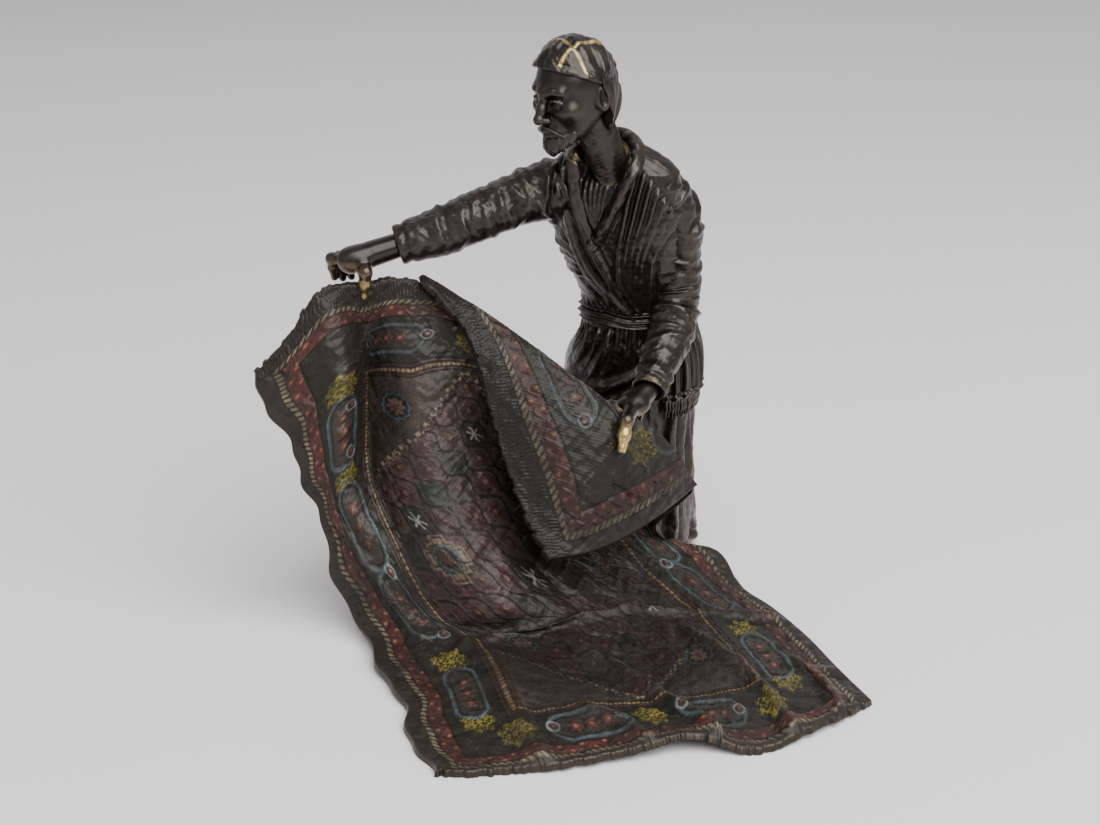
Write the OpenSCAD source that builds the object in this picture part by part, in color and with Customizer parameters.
// Bronze statuette: a carpet seller leans forward and holds up a patterned rug that spreads in front.
// Millimetres, +Z up. The figure faces -Y. The origin is under the middle of the whole bronze, on its
// resting plane. Every casting is hollow or a thin sheet, and pins and screws hold them together.

/* [Whole bronze] */
// Height from the resting plane to the crown of the cap
statuette_tall = 230; // [160:1:300]
// How far the near corner of the rug lies in front of the middle of the bronze
hem_reach = 124; // [100:1:150]

/* [Castings] */
// Thickness of the rug casting
rug_thick = 2.4; // [1.8:0.1:3]
// Wall of the hollow robe and coat
wall = 2.4; // [1.8:0.1:3.2]
// Depth of the drapery folds on the robe
fold_depth = 1.6; // [0.8:0.1:2.2]
// How far the sash stands out from the waist
sash_proud = 2.6; // [1.8:0.1:3.4]
// Thickness of the foot plate under the robe
plate_thick = 3; // [2.5:0.1:4]

/* [Fastenings] */
// Diameter of the dowels at the neck, shoulders and wrists
dowel_d = 3.6; // [2.8:0.1:4.2]
// Diameter of the studs and screws under the base
screw_d = 3; // [2.4:0.1:3.6]
// Diameter of the rivets that hold the rug to the hands and its fold
rivet_d = 1.8; // [1.4:0.1:2.2]

/* [Hidden] */

bronze = "#3a2f24";
rubbed = "#8a6a35";
rug_red = "#5a2a22";
fit = 0.1;
model_tall = 230;
grow = statuette_tall / model_tall;
ring_n = 28;
limb_n = 15;

// ---- curves and lofts ----

// Point number i of a list, carried on in a straight line past both ends
function beyond(p, i) = i < 0 ? 2 * p[0] - p[1] : i >= len(p) ? 2 * p[len(p) - 1] - p[len(p) - 2] : p[i];

// Smooth curve through a list of points; x counts along them from 0
function spline(p, x) =
    let (i = min(floor(x), len(p) - 2), f = x - i,
         a = beyond(p, i - 1), b = p[i], c = p[i + 1], d = beyond(p, i + 2))
    0.5 * (2 * b + (c - a) * f + (2 * a - 5 * b + 4 * c - d) * f * f + (3 * b - a - 3 * c + d) * f * f * f);

// Point of a net of rows at column a and row b, both counted from 0
function on_net(net, a, b) = spline([for (row = net) spline(row, a)], b);

function unit(v) = v / norm(v);

// Point of the net moved off it along its normal
function off_net(net, a, b, h) =
    let (e = 0.02, last_a = len(net[0]) - 1, last_b = len(net) - 1,
         a0 = max(a - e, 0), a1 = min(a + e, last_a), b0 = max(b - e, 0), b1 = min(b + e, last_b),
         n = cross(on_net(net, a1, b) - on_net(net, a0, b), on_net(net, a, b1) - on_net(net, a, b0)))
    on_net(net, a, b) + h * unit(n);

// Closed skin over rings of equal length, with a fan at each end
module loft(rings) {
    n = len(rings[0]);
    last = len(rings) - 1;
    mid = function (ring) [for (v = ring) 1] * ring / n;
    points = concat([for (ring = rings) each ring], [mid(rings[0]), mid(rings[last])]);
    sides = [for (k = [0:last - 1]) for (i = [0:n - 1])
        let (a = k * n + i, b = k * n + (i + 1) % n) each [[a, a + n, b + n], [a, b + n, b]]];
    start = [for (i = [0:n - 1]) [len(points) - 2, i, (i + 1) % n]];
    end = [for (i = [0:n - 1]) [len(points) - 1, last * n + (i + 1) % n, last * n + i]];
    polyhedron(points, concat(sides, start, end));
}

// Sheet of a given thickness laid on a net; side is 1 or -1 and picks the face that it grows from
module sheet(net, cols, rows, thick, side = 1) {
    last_a = len(net[0]) - 1;
    last_b = len(net) - 1;
    // each row runs out along the far face and back along the near one, so a row is a ring
    ring = function (b) concat(
        [for (i = [0:cols]) off_net(net, last_a * i / cols, b, side > 0 ? 0 : -thick)],
        [for (i = [cols:-1:0]) off_net(net, last_a * i / cols, b, side > 0 ? thick : 0)]);
    rings = [for (j = [0:rows]) ring(last_b * j / rows)];
    n = 2 * (cols + 1);
    points = [for (r = rings) each r];
    sides = [for (k = [0:rows - 1]) for (i = [0:n - 1])
        let (a = k * n + i, b = k * n + (i + 1) % n) each [[a, b + n, a + n], [a, b, b + n]]];
    caps = [for (i = [0:cols - 1]) let (j = n - 1 - i, up = rows * n)
        each [[i, j - 1, i + 1], [i, j, j - 1],
              [up + i + 1, up + j, up + i], [up + i + 1, up + j - 1, up + j]]];
    polyhedron(points, concat(sides, caps));
}

// Rounded ring: centre, half width, half depth to the front and to the back, lean and turn of the ring
function body_ring(c, half, front, back, lean = 0, turn = 0, folds = 0, depth = 0, n = ring_n) =
    let (side = [cos(turn), -sin(turn), 0], fwd = [-sin(turn) * cos(lean), -cos(turn) * cos(lean), -sin(lean)])
    [for (i = [0:n - 1]) let (t = 360 * i / n, r = 1 + depth * cos(folds * t) / half)
        c + side * half * r * cos(t) - fwd * (sin(t) > 0 ? back : front) * r * sin(t)];

// Round limb through points, with a radius at each and rings of wrinkles between
module limb(path, radii, steps = 14, wrinkle = 0, n = limb_n) {
    last = len(path) - 1;
    ring = function (k)
        let (x = last * k / steps, e = 0.05,
             dir = unit(spline(path, min(x + e, last)) - spline(path, max(x - e, 0))),
             right = unit(cross(dir, [0.2, 0.3, 1])), up = cross(dir, right), r = spline(radii, x))
        [for (i = [0:n - 1]) let (t = 360 * i / n, w = 1 + wrinkle * sin(x * 400 + 60 * sin(2 * t)) / r)
            spline(path, x) + r * w * (cos(t) * right + sin(t) * up)];
    loft([for (k = [0:steps]) ring(k)]);
}

// Hands the booleans of free-form castings over as one finished mesh
module cast() resize([0, 0, 0]) children();

// Rod from one point to another
module rod(from, to, d, fn = 24) {
    v = to - from;
    translate(from) rotate([0, acos(v.z / norm(v)), atan2(v.y, v.x)]) cylinder(d = d, h = norm(v), $fn = fn);
}

// Where the middle of the bronze lies among the coordinates below, which are those of the figure
middle = [1.6, 1.8, 0];

// The whole bronze grows from its origin, under its middle
module bronze_work(tone = bronze) color(tone) scale(grow) translate(-middle) children();

// ---- the rug ----

// The spread of the rug in front of the figure is stretched to reach the near corner
spread_from = -20;
stretch = (hem_reach + spread_from) / (124 + spread_from);
rug_lift = 0.3;
function reach(p) =
    [p.x, p.y < spread_from ? spread_from + (p.y - spread_from) * stretch : p.y, p.z + rug_lift];

// Underside of the rug from the near hem to the top edge and the fold line, left to right.
// Its last row is the fringed top edge as far as the fifth column, then the fold line down to the far edge.
rug_net = [for (row = [
    [[-41,-124,0], [-27,-125,0], [-13,-123,0], [3,-121,1], [27,-114,2],
     [50,-107,5], [72,-109,0], [96,-94,2], [118,-72,0]],
    [[-49,-98,0], [-36,-94,1], [-24,-91,2], [-9,-87,4], [14,-80,3],
     [40,-74,1], [66,-68,3], [88,-58,1], [109,-46,0]],
    [[-56,-70,1], [-43,-66,2], [-31,-62,4], [-17,-58,7], [6,-52,3],
     [32,-46,1], [58,-38,4], [79,-29,2], [100,-18,0]],
    [[-65,-42,2], [-53,-38,4], [-42,-34,7], [-27,-32,6], [-5,-27,6],
     [22,-20,8], [49,-11,4], [70,-2,3], [89,8,0]],
    [[-75,-17,5], [-63,-17,12], [-53,-20,16], [-41,-24,16], [-20,-27,20],
     [10,-14,12], [40,2,6], [62,13,4], [80,21,1]],
    [[-82,-6,20], [-72,-11,30], [-66,-13,35], [-55,-13,36], [-36,-20,40],
     [-8,-6,32], [27,14,14], [52,27,8], [76,32,2]],
    [[-89,-4,44], [-82,-6,52], [-78,-5,58], [-68,6,58], [-46,-8,60],
     [-18,4,54], [14,20,32], [44,38,14], [70,45,8]],
    [[-95,-2,63], [-86,-3,72], [-79,-2,84], [-71,17,82], [-50,2,84],
     [-24,10,76], [8,18,54], [36,34,28], [54,48,10]],
    [[-105,0,84], [-92,1,98], [-79,2,110], [-71,20,108], [-54,12,112],
     [-25,14,100], [10,12,78], [40,20,50], [43,32,27]],
    [[-115,2,104], [-101,6,117], [-88,10,134], [-74,14,136], [-50,20,135],
     [-19,13,115], [15,4,92], [42,6,73], [56,20,47]]
]) [for (p = row) reach(p)]];

// The corner folded forward over the fold line: rows from the fold to the fringed edge and the tip
flap_net = [
    [[-52,14,139], [-19,10,119], [15,1,96], [42,3,77], [57,18,51]],
    [[-51,12,139], [-23,6,118], [4,-6,95], [26,-9,73], [36,-4,43]],
    [[-50,11,138], [-27,4,117], [-9,-9,91], [7,-17,66], [17,-20,39]],
    [[-49,10,137], [-31,2,115], [-22,-8,87], [-13,-18,59], [-2,-28,38]]
];

module rug_solid() sheet(rug_net, 32, 30, rug_thick);
module flap_solid() sheet(flap_net, 16, 9, rug_thick, -1);

// ---- the robe and coat ----

waist_z = 112;
waist = [34, 57];
waist_half = 20;
waist_deep = 15;

// Outline of the waist, which the robe, the coat and the sash share
function waist_ring(grown = 0, z = waist_z) =
    body_ring([waist.x, waist.y, z], waist_half + grown, waist_deep + grown, waist_deep + grown);

// Robe from its hem to the waist: height, centre x, centre y, half width, front depth, back depth, fold size
robe_levels = [
    [plate_thick, 32, 84, 29, 38, 40, 1], [12, 32, 82, 29, 37, 38, 1], [24, 32, 77, 28, 32, 32, 1],
    [36, 32, 71, 27, 27, 25, 1], [55, 32, 67, 26, 25, 23, 1], [75, 32, 65, 27, 25, 24, 0.8],
    [92, 33, 62, 26, 22, 23, 0.5], [103, 34, 58, 22, 17, 19, 0.3]
];
robe_folds = 9;
function robe_ring(level, grown = 0) =
    body_ring([level[1], level[2], level[0]], level[3] + grown, level[4] + grown, level[5] + grown,
              folds = robe_folds, depth = fold_depth * level[6]);
function robe_rings(grown = 0) =
    concat([for (level = robe_levels) robe_ring(level, grown)], [waist_ring(grown)]);
function sunk(ring) = [for (p = ring) p - [0, 0, 1]];
robe_hollow = [for (level = robe_levels) robe_ring(level, -wall)];

// Coat from the waist to the neck: centre, half width, front depth, back depth, lean
coat_levels = [
    [[33, 54, 121], 21, 16, 16, 8], [[30, 48, 134], 23, 17, 18, 17], [[27, 42, 148], 25, 18, 19, 23],
    [[25, 36, 161], 26, 17, 19, 27], [[24, 32, 171], 26, 14, 17, 30], [[23, 29, 178], 22, 12, 13, 30],
    [[21, 27, 183], 12, 9, 10, 30]
];
coat_turn = 14;
hollow_levels = 3;
function coat_ring(level, grown = 0) =
    body_ring(level[0], level[1] + grown, level[2] + grown, level[3] + grown, level[4], coat_turn);
function coat_rings(grown = 0) =
    concat([waist_ring(grown)], [for (level = coat_levels) coat_ring(level, grown)]);
coat_hollow = concat([waist_ring(-wall)], [for (k = [0:hollow_levels]) coat_ring(coat_levels[k], -wall)]);

module robe_solid(grown = 0) loft(robe_rings(grown));
module coat_solid(grown = 0) loft(coat_rings(grown));
module robe_shell() difference() { robe_solid(); loft(concat([sunk(robe_hollow[0])], robe_hollow)); }
module coat_shell() difference() { coat_solid(); loft(concat([sunk(coat_hollow[0])], coat_hollow)); }

// ---- the limbs and the head ----

wrist_right = [-58, 22, 148];
wrist_left = [38, 12, 93];
arm_right = [[14, 35, 167], [2, 35, 167], [-14, 31, 163], [-30, 27, 157], [-44, 24, 152], wrist_right];
arm_left = [[37, 33, 172], [43, 36, 164], [49, 40, 151],
            [50, 44, 137], [50, 43, 123], [48, 36, 110], [43, 24, 101], wrist_left];
arm_right_radii = [9, 11.5, 10, 9.5, 10, 8.5];
arm_left_radii = [6.5, 10.8, 10, 9, 9, 9, 8.5, 7.5];
palm_right = [-76, 18, 143];
palm_left = [31, 3, 89];
neck_low = [21, 28, 181];
neck_high = [15, 22, 197];
head_mid = [9, 16, 209.5];
face_turn = 50;
face_drop = 8;

module at_head() translate(head_mid) rotate([0, 0, -face_turn]) rotate([face_drop, 0, 0]) children();

// Egg in the head's own frame, with the face towards -Y
module egg(grown = 0, n = 24, steps = 12)
    loft([for (k = [0:steps]) let (t = -88 + 176 * k / steps, high = (t < 0 ? 20 : 18.5) + grown)
        [for (i = [0:n - 1]) let (a = 360 * i / n)
            [(14 + grown) * cos(t) * cos(a), (16.5 + grown) * cos(t) * sin(a), high * sin(t)]]]);

// Ball squashed to three half sizes
module ball(half, n = 12) scale(half) sphere(r = 1, $fn = n);

module head_solid() at_head() {
    egg();
    translate([0, -15.5, -2]) ball([2.6, 4, 5]);
    for (side = [-1, 1]) translate([side * 13.6, 2, -2]) ball([2, 3.4, 5]);
}
module neck_solid()
    limb([neck_low + [2.6, 2.6, -7], neck_low, neck_high, neck_high + [-2.4, -2.4, 6.4]],
         [8.8, 8.2, 7.6, 7], 8);
module sleeve_right_solid() limb(arm_right, arm_right_radii, 16, 0.5);
module sleeve_left_solid() limb(arm_left, arm_left_radii, 17, 0.5);

// Above the brow band the skull is covered by the cap; the cloth falls behind from it to the nape
brow_z = 5;
module above_brow(low = brow_z) at_head() rotate([-14, 0, 0]) translate([-40, -40, low]) cube([80, 80, 60]);
module behind_face() at_head() translate([-40, 1, -19]) cube([80, 60, 60]);
module cap_solid(grown = 1.4) intersection() { at_head() egg(grown); above_brow(); }

module finger(points, d) for (k = [0:len(points) - 2])
    rod(points[k], points[k + 1], d, 8);
module knuckles(points, d) for (p = points) translate(p) sphere(d = 1.1 * d, $fn = 8);

// Four fingers behind the edge and a thumb in front of it
module hand_solid(wrist, palm, bends, thumb, r) {
    limb([wrist, (wrist + palm) / 2, palm], [r - 1.2, r - 0.4, r], 5);
    for (k = [0:3]) {
        at = palm + [(k - 1.5) * 3.4, 0, 0];
        finger([at, at + bends[0], at + bends[1]], 3.6);
        knuckles([at, at + bends[0], at + bends[1]], 3.6);
    }
    finger([palm, palm + thumb[0], palm + thumb[1]], 4);
    knuckles([palm + thumb[0], palm + thumb[1]], 4);
}
module hand_right_solid()
    hand_solid(wrist_right, palm_right, [[-3, 6, 0], [-2, 6, -8]], [[6, -6, -3], [5.2, -4.1, -13]], 6.3);
module hand_left_solid()
    hand_solid(wrist_left, palm_left, [[-2, 8, -2], [-2, 9, -9]], [[-2, -12, -1], [-4, -17, -11]], 5.6);

// ---- fastenings: each rod as its own piece, and a little wider as the hole for it ----

module neck_rod(play = 0) rod([23, 30, 174], [12, 19, 206], dowel_d + play);
module shoulder_rods(play = 0) {
    rod([19, 36, 166], [-14, 32, 163], dowel_d + play);
    rod([34, 33, 168], [49, 38, 156], dowel_d + play);
}
module wrist_rods(play = 0) {
    rod([-48, 24, 151], [-67, 20, 145], dowel_d + play);
    rod([43, 22, 99], [33.6, 7, 90.6], dowel_d + play);
}
// Rivets through each hand and the rug, and through the folded corner
hand_spots = [[-68, 16, 133], [29, 0, 84]];
fold_spots = [[-36, 9, 121], [1, 0, 98], [47, 9, 66]];
module hand_rods(play = 0) for (p = hand_spots) rod(p - [0, 7, 0], p + [0, 7, 0], rivet_d + play, 16);
module fold_rods(play = 0) for (p = fold_spots) rod(p - [0, 7, 0], p + [0, 7, 0], rivet_d + play, 16);

// Stud and nut that hold the coat down on the robe
nut_thick = 3;
robe_roof = robe_levels[len(robe_levels) - 1][0];
module stud_rod(play = 0) translate([waist.x, waist.y, robe_roof - nut_thick - 2])
    cylinder(d = screw_d + play, h = waist_z + 3 - robe_roof + nut_thick + 2, $fn = 32);

// Bosses inside the hem of the robe, and the tongue that reaches under the rug
boss_spots = [[8, 84], [56, 84]];
boss_d = 8;
boss_tall = 12;
post_spot = [46, 14];
post_tall = 5;
tongue_wide = 14;
head_thick = 1.4;
module screw_rods(spots, long, play = 0) for (p = spots) translate([p.x, p.y, 0])
    cylinder(d = screw_d + play, h = long, $fn = 32);
module screw_sinks(spots, play = 0, more = 0) for (p = spots) translate([p.x, p.y, 0])
    cylinder(d = 2 * screw_d + play, h = head_thick + more, $fn = 32);

// ---- one module per piece ----

module rug_panel() bronze_work(rug_red) cast() difference() {
    rug_solid();
    hand_rods(fit);
    fold_rods(fit);
}

module rug_flap() bronze_work(rug_red) cast() difference() {
    flap_solid();
    rug_solid();
    hand_rods(fit);
    fold_rods(fit);
}

module fold_rivets() bronze_work(rubbed) fold_rods();
module hand_rivets() bronze_work(rubbed) hand_rods();

// Post brazed under the rug, with a screw up into it
module rug_post() bronze_work() cast() difference() {
    translate([post_spot.x, post_spot.y, plate_thick]) cylinder(d = 9, h = post_tall, $fn = 32);
    rug_solid();
    screw_rods([post_spot], 3 * post_tall, fit);
}
module post_screw() bronze_work(rubbed) { screw_rods([post_spot], 6); screw_sinks([post_spot]); }

module plate_outline() {
    polygon([for (p = robe_ring(robe_levels[0], -0.6)) [p.x, p.y]]);
    translate([post_spot.x - tongue_wide / 2, post_spot.y]) square([tongue_wide, 60]);
    translate(post_spot) circle(d = tongue_wide, $fn = 48);
}
module foot_plate() bronze_work() difference() {
    linear_extrude(plate_thick) plate_outline();
    translate([0, 0, -1]) screw_rods(concat(boss_spots, [post_spot]), 10, fit);
    translate([0, 0, fit - 1]) screw_sinks(concat(boss_spots, [post_spot]), fit, 1);
}
module foot_screws() bronze_work(rubbed) { screw_rods(boss_spots, 10); screw_sinks(boss_spots); }

module robe_skirt() bronze_work() cast() difference() {
    union() {
        robe_shell();
        intersection() {
            for (p = boss_spots) translate([p.x, p.y, plate_thick])
                cylinder(d = boss_d, h = boss_tall, $fn = 32);
            robe_solid();
        }
    }
    stud_rod(fit);
    screw_rods(boss_spots, 12, fit);
    rug_solid();
}

module slippers() bronze_work() cast() difference() {
    for (x = [20, 44]) translate([x, 117, 7]) ball([8, 12, 6.5], 16);
    robe_solid();
    linear_extrude(plate_thick) plate_outline();
    translate([0, 0, -50]) cube([200, 400, 100], true);
}

module waist_plate() bronze_work() cast() difference() {
    translate([0, 0, waist_z]) linear_extrude(3) polygon([for (p = waist_ring(-wall / 2)) [p.x, p.y]]);
    coat_shell();
    stud_rod(fit);
}
module waist_stud() bronze_work(rubbed) stud_rod();
module waist_nut() bronze_work(rubbed) translate([waist.x, waist.y, robe_roof - nut_thick]) difference() {
    cylinder(d = 2 * screw_d, h = nut_thick, $fn = 6);
    translate([0, 0, -1]) cylinder(d = screw_d + fit, h = nut_thick + 2, $fn = 32);
}

module coat_body() bronze_work() cast() difference() {
    coat_shell();
    neck_solid();
    neck_rod(fit);
    shoulder_rods(fit);
}

// Sash wound twice round the waist, and its end hanging at the left hip
sash_tall = 9;
module sash_solid() for (k = [0, 1])
    loft([for (t = [0:30:180])
        waist_ring(sash_proud * sin(t) - 0.01, waist_z + (k - 0.9 + t / 180) * sash_tall / 2)]);
module sash() bronze_work() cast() difference() { sash_solid(); robe_solid(); coat_solid(); }

tail_low = 76;
module tail_zone(low, high, grown) intersection() {
    robe_solid(grown);
    translate([44, 10, low]) cube([40, 55, high - low]);
}
module sash_tail() bronze_work() cast() difference() {
    tail_zone(tail_low, waist_z - sash_tall / 2, 2.4);
    robe_solid();
    sash_solid();
    sleeve_left_solid();
}
module sash_fringe() bronze_work() cast() difference() {
    tail_zone(tail_low - 7, tail_low, 2);
    robe_solid();
    sleeve_left_solid();
    hand_left_solid();
    for (x = [46:2.6:59]) translate([x, 10, tail_low - 8]) cube([0.9, 45, 6]);
    for (y = [46:2.6:62]) translate([54, y, tail_low - 8]) cube([30, 0.9, 6]);
}

// Wrapped front: outlines drawn as seen from the front, laid on the coat
lapel_line = [[31, 184], [24, 176], [15, 156], [19, 138], [29, 118],
              [35, 118], [25, 138], [22, 156], [30, 172], [36, 184]];
shirt_line = [[27, 180], [24, 176], [15, 156], [10, 166], [10, 180]];
module front_of(outline) translate([0, 33, 0]) rotate([90, 0, 0]) linear_extrude(60) polygon(outline);
module coat_lapel() bronze_work() cast() difference() {
    intersection() { coat_solid(1.6); front_of(lapel_line); }
    coat_solid();
    neck_solid();
    sash_solid();
    sleeve_left_solid();
    collar_solid();
}
module shirt_front() bronze_work() cast() difference() {
    intersection() { coat_solid(0.8); front_of(shirt_line); }
    coat_solid();
    neck_solid();
    sleeve_right_solid();
    collar_solid();
}
module collar_solid()
    limb([neck_low + [1.3, 2, -4], neck_low + [0, 0.6, 1], neck_low + [-1.3, -0.8, 6]], [9.6, 11, 10], 5);
module collar() bronze_work() cast() difference() {
    collar_solid();
    neck_solid();
    coat_solid();
    head_solid();
}

module neck() bronze_work() cast() difference() {
    neck_solid();
    head_solid();
    neck_rod(fit);
}
module neck_dowel() bronze_work(rubbed) neck_rod();

module head() bronze_work() cast() difference() {
    head_solid();
    neck_rod(fit);
}
module beard() bronze_work() cast() difference() {
    at_head() {
        translate([0, -13, -15]) ball([6, 6, 7], 14);
        translate([0, -15.5, -8.5]) ball([5, 3, 1.6]);
    }
    head_solid();
    neck_solid();
    collar_solid();
}
module cap() bronze_work() cast() difference() {
    cap_solid();
    head_solid();
}
module cap_braid() bronze_work(rubbed) cast() difference() {
    intersection() {
        cap_solid(2);
        above_brow(brow_z + 0.3);
        at_head() {
            for (x = [-6.5, 6.5]) translate([x, 0, 0]) cube([1.6, 60, 60], true);
            translate([0, -4, 0]) cube([60, 1.6, 60], true);
        }
    }
    cap_solid();
    head_solid();
}
module cloth_solid() difference() {
    intersection() { at_head() egg(2.4); behind_face(); }
    above_brow(brow_z - 0.01);
}
module head_cloth() bronze_work() cast() difference() {
    cloth_solid();
    head_solid();
    cap_solid(2);
    neck_solid();
    collar_solid();
}

module sleeve_right() bronze_work() cast() difference() {
    sleeve_right_solid();
    coat_solid();
    shoulder_rods(fit);
    wrist_rods(fit);
}
module sleeve_left() bronze_work() cast() difference() {
    sleeve_left_solid();
    coat_solid();
    sash_solid();
    robe_solid();
    shoulder_rods(fit);
    wrist_rods(fit);
}
module shoulder_dowels() bronze_work(rubbed) shoulder_rods();
module wrist_dowels() bronze_work(rubbed) wrist_rods();

module hand_right() bronze_work(rubbed) cast() difference() {
    hand_right_solid();
    rug_solid();
    flap_solid();
    sleeve_right_solid();
    wrist_rods(fit);
    hand_rods(fit);
}
module hand_left() bronze_work(rubbed) cast() difference() {
    hand_left_solid();
    rug_solid();
    flap_solid();
    sleeve_left_solid();
    wrist_rods(fit);
    hand_rods(fit);
}

rug_panel();
rug_flap();
fold_rivets();
rug_post();
post_screw();
foot_plate();
foot_screws();
robe_skirt();
slippers();
waist_plate();
waist_stud();
waist_nut();
sash();
sash_tail();
sash_fringe();
coat_body();
coat_lapel();
shirt_front();
collar();
neck();
neck_dowel();
head();
beard();
cap();
cap_braid();
head_cloth();
sleeve_right();
sleeve_left();
shoulder_dowels();
wrist_dowels();
hand_right();
hand_left();
hand_rivets();
